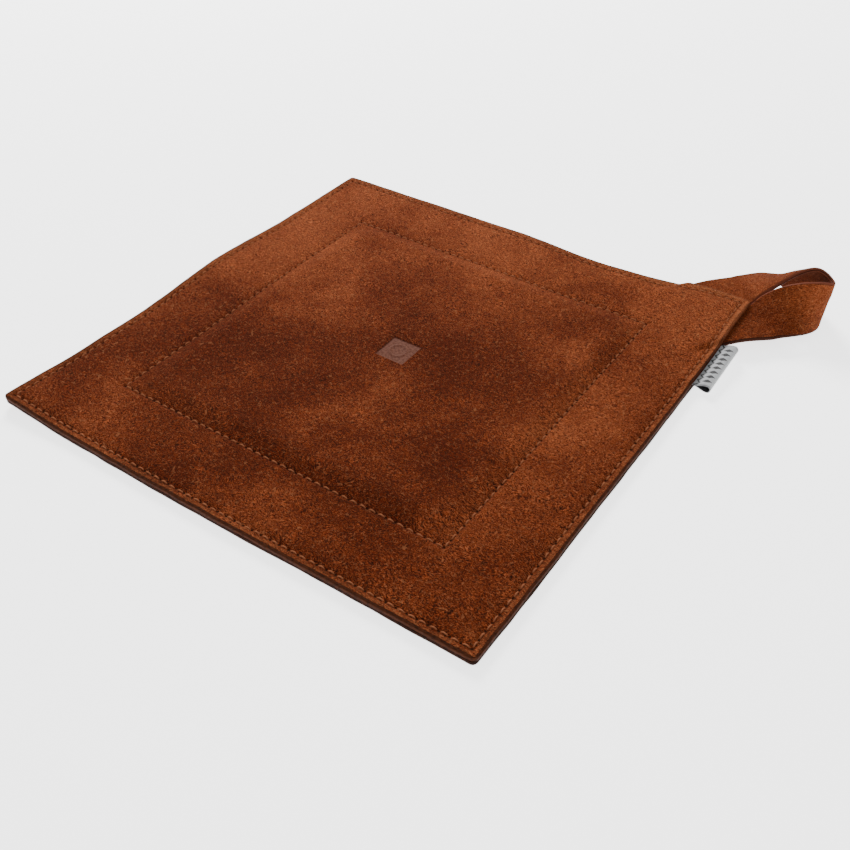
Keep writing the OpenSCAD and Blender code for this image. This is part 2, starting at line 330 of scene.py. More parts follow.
def grid_lines():
    """Positions of the panels' grid lines: close together at the seams, the edge and the stamp."""
    t, lines = 0.0, [0.0]
    while t < HALF - 0.2:
        fine = t < FINE_IN_MIDDLE or abs(t - CENTRE_SEAM) < FINE_BY_SEAM or t > HALF - FINE_BY_EDGE
        t += FINE_STEP if fine else COARSE_STEP
        lines.append(t)
    lines[-1] = HALF
    return np.array([-a for a in lines[:0:-1]] + lines)


def grid_quads(n):
    """Faces of a square grid with n points on a side."""
    return [[r * n + c, r * n + c + 1, (r + 1) * n + c + 1, (r + 1) * n + c]
            for r in range(n - 1) for c in range(n - 1)]


def grid_border(n):
    """The grid's border points, once round."""
    return ([c for c in range(n - 1)] + [r * n + n - 1 for r in range(n - 1)]
            + [(n - 1) * n + c for c in range(n - 1, 0, -1)] + [r * n for r in range(n - 1, 0, -1)])


def round_corners(x, y):
    """Bends the grid's corner blocks into quarter discs."""
    edge = HALF - CORNER_R
    u, w = np.abs(x) - edge, np.abs(y) - edge
    corner = (u > 0) & (w > 0)
    r = np.maximum(u, w)
    with np.errstate(divide="ignore", invalid="ignore"):
        angle = np.where(u >= w, math.pi / 4 * w / u, math.pi / 2 - math.pi / 4 * u / w)
    bent_x = np.sign(x) * (edge + r * np.cos(angle))
    bent_y = np.sign(y) * (edge + r * np.sin(angle))
    return np.where(corner, bent_x, x), np.where(corner, bent_y, y)


# The coarse face that nothing sees: its rings' shares of the way out from the middle
HIDDEN_RINGS = [0.985, 0.965, 0.94, 0.9, 0.86, 0.82, 0.76, 0.71, 0.69, 0.67, 0.64, 0.6, 0.3, 0.03]
WALL = [(0.1, 0.07), (0.3, 0.13), (0.55, 0.15), (0.8, 0.1)]   # shares of the way down, and bulges
PAINT_FROM, PAINT_OVER = 0.45, 0.65    # the cut edge's paint stops here on the face, and fades over this
HIDDEN_SHARE = 0.98                    # the hidden face's dome, as a share of the felt's


def panel(name, face, hidden, seed, material, marks=False):
    """A closed panel: a fine outer face, a bulging cut edge, and a coarse face that nothing sees."""
    lines = grid_lines()
    n = len(lines)
    x, y = round_corners(*(a.ravel() for a in np.meshgrid(lines, lines)))
    z = face(x, y)
    border = np.array(grid_border(n))
    bx, by = x[border], y[border]
    tx, ty = np.roll(bx, -1) - np.roll(bx, 1), np.roll(by, -1) - np.roll(by, 1)
    size = np.hypot(tx, ty)
    nx, ny = ty / size, -tx / size

    # Rings from the outer face down the cut edge and across the hidden face: x, y, z, paint, way down
    z0, z1 = z[border], hidden(bx, by)
    rings = [(bx + b * nx, by + b * ny, mix(z0, z1, f), 1.0, f * SUEDE) for f, b in WALL]
    rings += [(bx, by, z1, 1.0, SUEDE)]
    rings += [(f * bx, f * by, hidden(f * bx, f * by), 0.0, 0) for f in HIDDEN_RINGS]
    px = np.concatenate([x] + [r[0] for r in rings] + [[0]])
    py = np.concatenate([y] + [r[1] for r in rings] + [[0]])
    pz = np.concatenate([z] + [r[2] for r in rings] + [[float(hidden(0.0, 0.0))]])
    m, base, before = len(border), len(x), border
    quads = grid_quads(n)
    for k in range(len(rings)):
        after = base + k * m + np.arange(m)
        quads += [[before[i], after[i], after[(i + 1) % m], before[(i + 1) % m]] for i in range(m)]
        before = after
    quads += [[before[i], len(px) - 1, before[(i + 1) % m]] for i in range(m)]
    faces = [[int(i) for i in q] for q in quads]

    # The cut edge is unrolled in the plan, so that the grain runs on down it
    plan_x = np.concatenate([x] + [r[0] + nx * r[4] for r in rings] + [[0]])
    plan_y = np.concatenate([y] + [r[1] + ny * r[4] for r in rings] + [[0]])
    on_face = np.concatenate([np.ones(len(x))] + [np.zeros(m)] * len(rings) + [[0]])
    painted = 0.97 * (1 - smooth((HALF - out(x, y) - PAINT_FROM) / PAINT_OVER))
    attributes = {"edge": np.concatenate([painted] + [np.full(m, r[3]) for r in rings] + [[0]]),
                  "seam": seams(px, py) * on_face}
    if marks:
        attributes["stamp"] = in_stamp(px, py, 0.5) * on_face
    dx, dy = wander(px, py, seed)
    return build(name, np.stack([px + dx, py + dy, pz], 1), faces, material, attributes,
                 uv=np.stack([plan_x, plan_y], 1) * MM)


def top_inside(x, y):
    return SUEDE + apart(x, y) + underside(x, y) + dome(x, y) * HIDDEN_SHARE


def bottom_inside(x, y):
    return SUEDE + underside(x, y)


# ---- Threads ----

THREAD_SIDES, THREAD_STEPS = 9, 13     # points round a stitch, and along it
THREAD_R = 0.29
THREAD_LIE = 0.2                       # how far a stitch's middle stands off the pulled-in face
THREAD_DIP = 1.5                       # how deep its ends go into the needle holes
STITCH_START, STITCH_SHARE = 0.1, 0.8  # the stitch's part of the pitch
PLIES, PLY_SWELL, PLY_TURN = 3, 0.13, 9.5      # the thread's plies, their relief and their turn in radians


def stitches(name, half, count, face, side, material, seed):
    """One seam's stitches on one face, each a twisted bow that dips into its two needle holes."""
    rng = np.random.RandomState(seed)
    pitch = 2 * half / count
    points, faces, steps = [], [], []
    t = np.linspace(0, 1, THREAD_STEPS)
    ring = np.linspace(0, 2 * math.pi, THREAD_SIDES, endpoint=False)
    for c, d in ((1, 0), (0, 1), (-1, 0), (0, -1)):        # the direction of each side of the seam
        for i in range(count):
            u = -half + pitch * (i + STITCH_START + STITCH_SHARE * t)
            off = -half + mix(rng.uniform(-0.09, 0.09), rng.uniform(-0.09, 0.09), t)
            x, y = c * u - d * off, d * u + c * off
            dip = THREAD_DIP * (1 - np.sin(np.pi * t) ** 0.32)
            z = face(x, y, dimples=False) + side * (THREAD_LIE + rng.uniform(-0.04, 0.05) - dip)
            r = THREAD_R * (0.86 + 0.14 * np.sin(np.pi * t)) * rng.uniform(0.95, 1.04)
            dx, dy = wander(x, y, 0)
            first = len(points)
            for k in range(THREAD_STEPS):
                swell = 1 + PLY_SWELL * np.cos(PLIES * ring + PLY_TURN * t[k])
                across, up = r[k] * swell * np.cos(ring), 0.86 * r[k] * swell * np.sin(ring)
                for a, b in zip(across, up):
                    points.append((x[k] + dx[k] - d * a, y[k] + dy[k] + c * a, z[k] + side * b))
                    steps.append(k)
            faces += tube_faces(THREAD_STEPS, THREAD_SIDES, first)
    uv = np.stack([np.array(steps) / THREAD_STEPS, np.tile(ring, len(points) // THREAD_SIDES)], 1)
    return build(name, points, faces, material, uv=uv)


# ---- Strap ----

# Straight lines across the strap's free length, from its upper edge to its lower edge. Each end is
# (beyond the tip along the diagonal, across it, height).
LOOP_UPPER = [(4, 0.2, 10.3), (10, -0.8, 15.5), (16, -1.8, 20.1), (21.2, -3.4, 22.4), (24.4, -5.4, 21.8),
              (26.2, -8.2, 20.2), (25.2, -11, 20.4), (20.4, -10.8, 21.2), (15.2, -8.2, 20.1),
              (9.6, -4.8, 17.1), (4, -1, 11.2)]
LOOP_LOWER = [(4, 20, 6.4), (14.2, 17.2, 8), (19.4, 11.4, 5), (25.4, 7.4, 4.6), (28.6, 3, 3.8),
              (28.4, -2.2, 2.4), (26, -7.4, 1.5), (22.2, -12.8, 1.2), (17, -17, 2.6), (10.4, -20, 4.4),
              (4, -20.4, 4.9)]
LOOP_BOW = [0.1, 1, 2.4, 1.5, 0.4, 0.3, 0.2, 0, 0, 0, 0]   # height of its arch across each line
LOOP_STEPS = 9                       # steps of the smooth curve between two lines
FAR_OUTER, NEAR_OUTER = 6.1, 4.4     # heights of the two legs' outer edges where they meet the tip
TAIL_STEP = 1.5                      # between the lines across a sewn-in end
STRAP_BULGE = 0.12                   # how far the middle of a cut edge stands out
STRAP_THINNING, STRAP_THIN_W = 0.42, 0.45      # share of its thickness that the strap loses at the edge
STRAP_PAINT_FROM, STRAP_PAINT_OVER = 0.1, 0.6  # the paint stops here on the face, and fades over this
STRAP_CALM = 34.0                    # length at each end that doesn't ripple
STRAP_RIPPLE, STRAP_RIPPLE_CELL = 0.22, 11.0   # each with the size of its humps
STRAP_SMALL_RIPPLE, STRAP_SMALL_CELL = 0.08, 4.0
INNER_PLAN = 40.0                    # where the inner face starts in the strap's plan


def spline(points, per_span):
    """A smooth curve through points, per_span steps between each two."""
    p = np.asarray(points, float)
    p = np.vstack([2 * p[0] - p[1], p, 2 * p[-1] - p[-2]])
    f = np.linspace(0, 1, per_span, endpoint=False)[:, None]
    spans = [0.5 * (2 * b + (c - a) * f + (2 * a - 5 * b + 4 * c - d) * f ** 2
                    + (3 * b - a - 3 * c + d) * f ** 3)
             for a, b, c, d in zip(p, p[1:], p[2:], p[3:])]
    return np.vstack(spans + [p[-2:-1]])


def tail_row(s, side, outer_z, w):
    """One line across a sewn-in end, w running from its inner to its outer edge."""
    v = STRAP_GAP + STRAP_W * w
    middle = SUEDE + (2 * AIR + SUEDE) / 2
    beyond = np.clip((v - (TIP - s)) / STRAP_W, 0, 1.2)    # how far it has come out from the panels
    rise = outer_z - (middle + LIFT)
    inner_rise = 0.4 * smooth((s - TIP + 5) / 5.5) * (1 - w)
    z = middle + lift(min(s, TIP - 0.5)) + rise * beyond ** 1.25 + inner_rise
    return np.stack([np.full_like(v, s), side * v, z], 1)


def unit(vectors):
    return vectors / np.linalg.norm(vectors, axis=2, keepdims=True)


def normals(rows):
    """Unit normals of a surface given as rows of points."""
    return unit(np.cross(np.gradient(rows, axis=0), np.gradient(rows, axis=1)))


def strap_surface(w):
    """Middle surface of the whole strap in (s, v, z), one row for each step along it."""
    tails = np.arange(STRAP_IN, TIP + 0.6, TAIL_STEP)
    far = [tail_row(s, 1, FAR_OUTER, w) for s in tails]
    near = [tail_row(s, -1, NEAR_OUTER, w) for s in tails[::-1]]
    tip = np.array([TIP, 0, 0])
    start, stop = far[-1], near[0]
    upper = spline([start[0]] + [tip + p for p in LOOP_UPPER] + [stop[0]], LOOP_STEPS)
    lower = spline([start[-1]] + [tip + p for p in LOOP_LOWER] + [stop[-1]], LOOP_STEPS)
    free = mix(upper[:, None], lower[:, None], w[None, :, None])
    bow = spline([(0,)] + [(b,) for b in LOOP_BOW] + [(0,)], LOOP_STEPS)
    free = free + bow[:, :, None] * (4 * w * (1 - w))[None, :, None] * normals(free)
    return np.array(far + list(free[1:-1]) + near)


def eased(rows, times):
    """Rows smoothed along the strap, the ends kept."""
    for _ in range(times):
        rows = rows.copy()
        rows[1:-1] = (rows[:-2] + 2 * rows[1:-1] + rows[2:]) / 4
    return rows


def strap(material):
    """The whole strap: a tube of rings, each once round the leather's outer and inner faces."""
    w = np.concatenate([[0, 0.006, 0.016, 0.035], np.linspace(0.07, 0.93, 15), [0.965, 0.984, 0.994, 1]])
    rows = eased(strap_surface(w), 3)
    run = np.concatenate([[0], np.cumsum(np.linalg.norm(np.diff(rows.mean(1), axis=0), axis=1))])
    normal = normals(rows)
    across = w * STRAP_W
    from_edge = np.minimum(w, 1 - w) * STRAP_W
    thin = STRAP_THINNING * np.clip(1 - from_edge / STRAP_THIN_W, 0, 1) ** 2
    half_thick = (SUEDE / 2 * (1 - thin))[None, :, None]
    free = smooth((run - STRAP_CALM) / 8) * smooth((run[-1] - STRAP_CALM - run) / 8)
    wave = (STRAP_RIPPLE * noise(run[:, None], across[None, :], STRAP_RIPPLE_CELL, 31)
            + STRAP_SMALL_RIPPLE * noise(run[:, None], across[None, :], STRAP_SMALL_CELL, 32)) * free[:, None]
    outer = rows + normal * (half_thick + wave[..., None])
    inner = rows - normal * (half_thick - wave[..., None])
    upper_lip = (outer[:, :1] + inner[:, :1]) / 2 + unit(rows[:, :1] - rows[:, 1:2]) * STRAP_BULGE
    lower_lip = (outer[:, -1:] + inner[:, -1:]) / 2 + unit(rows[:, -1:] - rows[:, -2:-1]) * STRAP_BULGE
    loops = np.concatenate([outer, lower_lip, inner[:, ::-1], upper_lip], axis=1)
    rings, sides = loops.shape[:2]
    s, v, z = loops.reshape(-1, 3).T
    points = np.stack([(s - v) / ROOT2, (s + v) / ROOT2, z], 1)
    painted = 1 - smooth((from_edge - STRAP_PAINT_FROM) / STRAP_PAINT_OVER)
    edge = np.tile(np.concatenate([painted, [1], painted[::-1], [1]]), rings)
    around = np.concatenate([across, [STRAP_W + 0.8], across[::-1] + INNER_PLAN, [-0.8]])
    uv = np.stack([np.repeat(run, sides), np.tile(around, rings)], 1)
    piece = build("strap", points, tube_faces(rings, sides), material,
                  {"edge": edge, "seam": np.zeros(len(edge))}, uv=uv * MM)
    return piece, float(run[-1])


# ---- Label ----

LABEL_MID = (LABEL_FROM + LABEL_TO) / 2
LABEL_Z = 3.2                          # height of the fold's middle
LABEL_SLOPE = math.tan(math.radians(4.79))     # its rise towards the strap
FOLD_R, FOLD_START = 1.5, 0.9          # radius of the fold, and where the two layers start to part
FOLD_REACH = LABEL_REACH - FOLD_START - FOLD_R
FOLD_TURN = 78                         # the fold's arc runs this many degrees to each side


def fold_path():
    """Middle line of the folded ribbon in (out from the pad's edge, height), lower end to upper end."""
    lie = RIBBON_T / 2 + 0.015
    r = FOLD_R - RIBBON_T / 2
    x = np.concatenate([np.linspace(-LABEL_IN, 0, 6)[:-1], np.linspace(0, FOLD_START + FOLD_REACH, 14)])
    opened = np.clip((x - FOLD_START) / FOLD_REACH, 0, 1)
    h = lie + (r - lie) * np.sin(math.pi / 2 * opened ** 1.3)
    a = np.radians(np.linspace(-FOLD_TURN, FOLD_TURN, 11))
    nose, nose_h = FOLD_START + FOLD_REACH + r * np.cos(a), r * np.sin(a)
    return np.concatenate([x, nose, x[::-1]]), np.concatenate([-h, nose_h, h[::-1]])


def fold_run():
    """Distance along the folded ribbon at each point of its path."""
    px, ph = fold_path()
    return np.concatenate([[0], np.cumsum(np.hypot(np.diff(px), np.diff(ph)))])


def label(front, back):
    """The folded ribbon: front is the material of its outside, and back that of its inside."""
    px, ph = fold_path()
    run = fold_run()
    tx, th = np.gradient(px), np.gradient(ph)
    size = np.hypot(tx, th)
    nx, nh = th / size * RIBBON_T / 2, -tx / size * RIBBON_T / 2
    x = np.concatenate([px + nx, (px - nx)[::-1]])
    h = np.concatenate([ph + nh, (ph - nh)[::-1]])
    arc = np.concatenate([run, run[::-1]])
    gx, gy = np.meshgrid(x, np.linspace(LABEL_FROM, LABEL_TO, 41))
    rows, sides = gx.shape
    gh = np.tile(h, (rows, 1))
    free = smooth((gx - 0.3) / 3)
    plane = LABEL_Z + LABEL_SLOPE * (gy - LABEL_MID)
    seat = slot(np.minimum(HALF + gx, HALF), gy)
    wave = free * (0.16 * noise(gy, gx, 7, 41) + 0.1 * noise(gy, gh * 4, 3, 42))
    gz = mix(seat, plane, free) + gh + wave
    points = np.stack([HALF + gx + 0.4 * wave, gy, gz], -1).reshape(-1, 3)
    uv = np.stack([gy - LABEL_FROM, np.tile(arc, (rows, 1))], -1).reshape(-1, 2)
    inside = [r * sides + j for r in range(rows - 1) for j in range(sides // 2, sides - 1)]
    ends = np.zeros(len(points))
    ends[:sides] = ends[-sides:] = 1
    piece = build("label_ribbon", points, tube_faces(rows, sides), front, {"edge": ends}, uv=uv * MM,
                  other=(back, inside))
    return piece, run[-1]


# ---- Felt ----

FELT_HALF, FELT_LINES = 67.5, 61       # half of its side, and the grid lines across it
FELT_BORDER = 9.0                      # width of the border that thins out


def felt_pad(material):
    """The felt between the panels: a soft slab that thins out to its border."""
    t = np.linspace(-FELT_HALF, FELT_HALF, FELT_LINES)
    x, y = (a.ravel() for a in np.meshgrid(t, t))
    full = smooth((FELT_HALF - out(x, y)) / FELT_BORDER)
    low = np.full_like(x, SUEDE + AIR + 0.01)
    high = low + 0.08 + (FELT_T - 0.22) * full + 0.03 * noise(x, y, 5, 51) * full
    quads, border, m = grid_quads(FELT_LINES), grid_border(FELT_LINES), len(x)
    faces = quads + [[q + m for q in reversed(f)] for f in quads]
    faces += [[a, b, b + m, a + m] for a, b in zip(border, border[1:] + border[:1])]
    points = np.concatenate([np.stack([x, y, high], 1), np.stack([x, y, low], 1)])
    return build("felt_filling", points, faces, material, uv=np.concatenate([np.stack([x, y], 1)] * 2) * MM)


# ---- Materials ----

class Nodes:
    """Short ways to add and join shader nodes."""

    def __init__(self, name):
        self.material = bpy.data.materials.new(name)
        self.material.use_nodes = True
        self.tree = self.material.node_tree
        self.shader = self.tree.nodes["Principled BSDF"]

    def add(self, kind, inputs=(), **settings):
        node = self.tree.nodes.new(kind)
        for key, value in settings.items():
            setattr(node, key, value)
        for key, value in dict(inputs).items():
            self.put(node.inputs[key], value)
        return node

    def put(self, socket, value):
        if isinstance(value, bpy.types.NodeSocket):
            self.tree.links.new(value, socket)
        else:
            socket.default_value = value

    def set(self, **values):
        for key, value in values.items():
            self.put(self.shader.inputs[key.replace("_", " ")], value)

    def math(self, operation, a, b=0.0, c=0.0, clamp=False):
        node = self.add("ShaderNodeMath", {0: a, 1: b, 2: c}, operation=operation, use_clamp=clamp)
        return node.outputs[0]

    def range(self, value, low, high, to_low=0.0, to_high=1.0):
        node = self.add("ShaderNodeMapRange", {0: value, 1: low, 2: high, 3: to_low, 4: to_high},
                        interpolation_type="SMOOTHSTEP")
        return node.outputs[0]

    def blend(self, factor, a, b, how="MIX"):
        node = self.add("ShaderNodeMix", {0: factor, 6: a, 7: b}, data_type="RGBA", blend_type=how)
        return node.outputs[2]

    def noise(self, at, scale, detail=2.0, rough=0.5, twist=0.0):
        node = self.add("ShaderNodeTexNoise", {"Vector": at, "Scale": scale, "Detail": detail,
                                               "Roughness": rough, "Distortion": twist})
        return node.outputs["Fac"]

    def stretch(self, at, scale, angle=0.0):
        node = self.add("ShaderNodeMapping", {"Vector": at, "Scale": scale, "Rotation": (0, 0, angle)})
        return node.outputs[0]

    def plan(self):
        """The piece's own flat coordinates, in millimetres."""
        uv = self.add("ShaderNodeUVMap", uv_map="plan").outputs[0]
        return self.stretch(uv, (1 / MM,) * 3)

    def attribute(self, name):
        return self.add("ShaderNodeAttribute", attribute_name=name).outputs["Fac"]

    def ramp(self, value, stops):
        node = self.add("ShaderNodeValToRGB", {0: value})
        ramp = node.color_ramp
        while len(ramp.elements) < len(stops):
            ramp.elements.new(0.5)
        for element, (at, colour) in zip(ramp.elements, stops):
            element.position, element.color = at, (*colour, 1)
        return node.outputs[0]

    def split(self, vector):
        """The x and y of a vector."""
        node = self.add("ShaderNodeSeparateXYZ", {0: vector})
        return node.outputs[0], node.outputs[1]

    def times(self, a, b):
        return self.math("MULTIPLY", a, b)

    def scatter(self, value, gain, base):
        """base plus a noise, taken as from -0.5 to 0.5, times gain."""
        return self.math("MULTIPLY_ADD", self.math("SUBTRACT", value, 0.5), gain, base)

    def fade(self, value, low, high, top):
        """0 below low, rising to top at high."""
        return self.times(self.range(value, low, high), top)

    def bump(self, height, distance):
        inputs = {"Height": height, "Distance": distance, "Strength": 1.0}
        return self.add("ShaderNodeBump", inputs).outputs[0]


# Linear colours of the suede, its pale hairs, the painted shade in the needle holes and the paint on its cut
# edges
SUEDE_DARK, SUEDE_MID, SUEDE_LIGHT = (0.05, 0.0055, 0.0012), (0.112, 0.0202, 0.006), (0.205, 0.0505, 0.0172)
FIBRE = (0.4, 0.145, 0.06)
HOLE_SHADE = (0.014, 0.0046, 0.0024)
PAINT_DARK, PAINT_BROWN, PAINT_RED_BROWN = (0.013, 0.005, 0.0028), (0.06, 0.017, 0.0065), (0.15, 0.042, 0.022)
STAMP_DARK, STAMP_PALE = (0.075, 0.026, 0.016), (0.13, 0.052, 0.034)
SUEDE_TONE = 0.54                      # middle of the tone, which runs from 0, dark, to 1, light
SUEDE_BUMP = 0.0009                    # metres
HOLE_R, HOLE_CORE = 0.56, 0.26         # a needle hole's outer radius, and that of its darkest part


def opaque(colour, dimmed=1.0):
    return (*[c * dimmed for c in colour], 1)


def hole_spots(n, at, half, count):
    """1 in a square seam's needle holes, as in holes()."""
    ax, ay = (n.math("ABSOLUTE", a) for a in n.split(at))
    pitch = 2 * half / count
    off = n.math("SUBTRACT", n.math("MAXIMUM", ax, ay), half)
    steps = n.math("DIVIDE", n.math("SUBTRACT", half, n.math("MINIMUM", ax, ay)), pitch)
    beside = n.times(n.math("SUBTRACT", steps, n.math("ROUND", steps)), pitch)
    r = n.math("SQRT", n.math("ADD", n.times(off, off), n.times(beside, beside)))
    return n.range(r, HOLE_R, HOLE_CORE)


def hairs(n, at, scale, turn):
    """1 on sparse curly hairs, which are level lines of a twisted noise, shown here and there."""
    at = n.stretch(at, (1, 1, 1), turn)
    line = n.math("ABSOLUTE", n.math("SUBTRACT", n.noise(at, scale, 1.5, 0.5, 1.2), 0.5))
    shown = n.range(n.noise(n.stretch(at, (1, 1, 1), 0.7), 1.7 * scale, 1, 0.5), 0.53, 0.58)
    return n.times(n.range(line, 0.024, 0.008), shown)


def suede(name, paint, brown=PAINT_BROWN, coarse=1.0, on_strap=False, stamped=False):
    """Brushed suede. paint is the share of brown in its painted cut edges, and coarse scales its grain.
    Its plan is the pad's own x and y, or on_strap the way along the strap and round it."""
    n = Nodes(name)
    at = n.plan()
    warp = n.add("ShaderNodeTexNoise", {"Vector": at, "Scale": 0.09, "Detail": 2.0}).outputs["Color"]
    bent = n.add("ShaderNodeVectorMath", {0: warp, 1: (9.0, 9.0, 9.0), 2: at},
                 operation="MULTIPLY_ADD").outputs[0]
    x, y = n.split(at)
    from_middle = n.math("MAXIMUM", n.math("ABSOLUTE", x), n.math("ABSOLUTE", y))
    to_strap = n.math("ADD", x, y)                         # grows towards the strap's corner

    # Blotches, brush marks and nap, from the broadest to the finest
    broad = n.noise(at, 0.021, 3, 0.5, 0.5)
    cloud = n.noise(bent, 0.075, 4, 0.6, 0.3)
    brushed = n.noise(n.stretch(bent, (0.6, 1.3, 1), 0.5), 0.45, 4, 0.65)
    nap = n.noise(n.stretch(bent, (0.65, 1.5, 1), 0.5), 1.25, 4, 0.75)
    fine = n.noise(n.stretch(at, (0.75, 1.3, 1), 0.3), 2.6, 3, 0.75)
    tone = SUEDE_TONE
    for layer, gain in ((broad, 2.6), (cloud, 0.9), (brushed, 0.7), (nap, 2.8), (fine, 4.8)):
        tone = n.scatter(layer, gain, tone)
    if on_strap:                                           # painted light: the far leg, lit more than the near leg, is painted paler
        tone = n.math("ADD", tone, n.range(x, 40, 62, 0.46, 0.02))
    else:                                                  # the middle is darker; painted light: the far side is painted paler, as if lit from behind
        tone = n.math("ADD", tone, n.range(from_middle, 20, 90, -0.36, 0.05))
        tone = n.math("ADD", tone, n.range(y, -60, 95, -0.16, 0.36))
    colour = n.ramp(tone, [(0.0, SUEDE_DARK), (0.5, SUEDE_MID), (1.0, SUEDE_LIGHT)])

    # Grain, pale flecks and hairs, and dark pits
    grain = n.range(n.noise(n.stretch(bent, (0.6, 1.5, 1), 0.9), 2.1, 3, 0.9), 0.4, 0.6,
                    1 - 0.97 * coarse, 1 + 1.2 * coarse)
    grey = n.add("ShaderNodeCombineColor", {0: grain, 1: grain, 2: grain}).outputs[0]
    colour = n.blend(1.0, colour, grey, "MULTIPLY")
    flecks = n.noise(n.stretch(bent, (0.5, 2.4, 1), 0.9), 2.6, 2, 0.75)
    colour = n.blend(n.fade(flecks, 0.58, 0.66, 0.1), colour, opaque(FIBRE))
    curls = n.math("MAXIMUM", hairs(n, at, 0.3, 0.4), hairs(n, at, 0.42, 2.1))
    colour = n.blend(n.times(curls, 0.38), colour, opaque(FIBRE))
    pits = n.noise(n.stretch(bent, (0.9, 1.4, 1), 0.2), 1.7, 3, 0.75)
    colour = n.blend(n.fade(pits, 0.46, 0.34, 0.6), colour, opaque(SUEDE_DARK, 0.5))
    # painted shade: the suede is darkened a little along the seams' grooves
    seam = n.attribute("seam")
    colour = n.blend(n.times(seam, 0.15), colour, opaque(SUEDE_DARK, 0.8))
    rough = n.range(nap, 0.3, 0.7, 0.82, 0.97)
    height = n.math("ADD", n.times(nap, 0.7), n.times(fine, 0.5))
    height = n.math("ADD", height, n.times(brushed, 0.5))
    height = n.math("ADD", height, n.times(curls, 0.12))
    depth = 1.0

    edge = n.attribute("edge")
    ragged = n.scatter(n.noise(at, 1.3, 3, 0.6), 0.7, edge)
    painted = n.times(n.range(ragged, 0.35, 0.75), n.range(edge, 0.02, 0.3))
    bare = n.math("ADD", n.range(n.noise(at, 0.7, 4, 0.7), 0.35, 0.65), paint - 0.5, clamp=True)
    if on_strap:                 # painted shade: a darker inner face inside the loop, and darker paint along the lower edge
        # painted shade: the inner face, in the loop's shadow, is darkened
        colour = n.blend(n.fade(y, 28, 32, 0.6), colour, opaque(SUEDE_DARK, 0.7))
        # painted shade: the paint along the lower edge, facing the floor, is dark instead of red-brown
        outer_low, inner_high, inner_low = n.range(y, 10, 16), n.range(y, 38, 39), n.range(y, 50, 54)
        low = n.math("ADD", n.math("SUBTRACT", outer_low, inner_high), inner_low)
        bare = n.times(bare, n.math("MULTIPLY_ADD", low, -0.85, 1.0))
    else:                        # needle holes painted dark as shade, a worn rim, and all of it fainter at the strap's corner
        spots = n.math("MAXIMUM", hole_spots(n, at, EDGE_SEAM, EDGE_STITCHES),
                       hole_spots(n, at, CENTRE_SEAM, CENTRE_STITCHES))
        spots = n.times(spots, n.range(to_strap, 132, 158, 1.0, 0.4))
        # painted shade: the needle holes are painted near black
        colour = n.blend(n.times(spots, n.range(seam, 0.3, 0.6)), colour, opaque(HOLE_SHADE))
        if stamped:
            pressed = n.attribute("stamp")
            stamp_colour = n.blend(n.range(n.noise(at, 1.1, 3, 0.6), 0.35, 0.65), opaque(STAMP_DARK),
                                   opaque(STAMP_PALE))
            colour = n.blend(n.times(pressed, 0.88), colour, stamp_colour)
            rough = n.math("SUBTRACT", rough, n.times(pressed, 0.32))
            depth = n.math("SUBTRACT", 1.0, n.times(pressed, 0.7))
        worn = n.times(n.range(from_middle, HALF - 3.2, HALF - 1.2), n.range(nap, 0.35, 0.6))
        worn = n.times(worn, n.range(to_strap, 130, 165, 0.22, 0.4))
        colour = n.blend(worn, colour, opaque(FIBRE))
        painted = n.times(painted, n.range(to_strap, 160, 185, 1.0, 0.45))

    colour = n.blend(painted, colour, n.blend(bare, opaque(PAINT_DARK), opaque(brown)))
    rough = n.math("SUBTRACT", rough, n.times(painted, 0.3))
    sheen = n.times(n.math("SUBTRACT", 1.0, painted), 0.07)
    depth = n.times(depth, n.math("MULTIPLY_ADD", painted, -0.6, 1.0))
    n.set(Base_Color=colour, Roughness=rough, Sheen_Weight=sheen, Sheen_Roughness=0.5,
          Sheen_Tint=(1.0, 0.4, 0.15, 1), Specular_IOR_Level=0.03,
          Normal=n.bump(n.times(height, depth), SUEDE_BUMP))
    return n.material


THREAD_DARK, THREAD_PALE, THREAD_FUZZ = (0.19, 0.06, 0.026), (0.31, 0.11, 0.05), (0.38, 0.15, 0.075)
FELT_DARK, FELT_PALE = (0.36, 0.32, 0.25), (0.6, 0.56, 0.47)
TAPE_DARK, TAPE_PALE, TAPE_SHADE = (0.4, 0.41, 0.42), (0.56, 0.57, 0.575), (0.2, 0.2, 0.21)
TAPE_MARK, TAPE_EDGE = (0.012, 0.012, 0.013), (0.05, 0.05, 0.055)
LINING_DARK, LINING_PALE = (0.006, 0.006, 0.007), (0.022, 0.022, 0.024)
FLOOR_DARK, FLOOR_PALE, FLOOR_GLOW = (0.9, 0.9, 0.9), (0.92, 0.92, 0.92), 2.4
WEFT_PITCH, WARP_PITCH = 0.34, 0.3     # of the woven tape
TOOTH, TOOTH_RISE, TOOTH_FROM, TOOTH_LINE = 1.6, 0.95, 0.3, 0.36   # the sawtooth beside the pad
LOZENGE, LOZENGE_AT, LOZENGE_SIZE = 1.4, 4.1, 0.98                 # the row of lozenges
LOZENGE_MARGIN = 1.85                  # the row stops this far from the tape's cut ends


def thread_material():
    n = Nodes("thread")
    at = n.stretch(n.add("ShaderNodeTexCoord").outputs["Object"], (1 / MM,) * 3)
    lengths = n.noise(at, 0.3, 3, 0.6)
    fuzz = n.noise(at, 6.0, 3, 0.7)
    colour = n.blend(lengths, opaque(THREAD_DARK), opaque(THREAD_PALE))
    colour = n.blend(n.fade(fuzz, 0.4, 0.7, 0.3), colour, opaque(THREAD_FUZZ))
    n.set(Base_Color=colour, Roughness=0.8, Specular_IOR_Level=0.03, Normal=n.bump(fuzz, 0.00008))
    return n.material


def felt_material():
    n = Nodes("felt")
    at = n.plan()
    colour = n.blend(n.noise(at, 0.5, 5, 0.7), opaque(FELT_DARK), opaque(FELT_PALE))
    n.set(Base_Color=colour, Roughness=0.95, Sheen_Weight=0.4,
          Normal=n.bump(n.noise(at, 1.6, 4, 0.7), 0.0004))
    return n.material


def ribs(n, along, pitch):
    return n.math("SINE", n.times(along, 2 * math.pi / pitch))


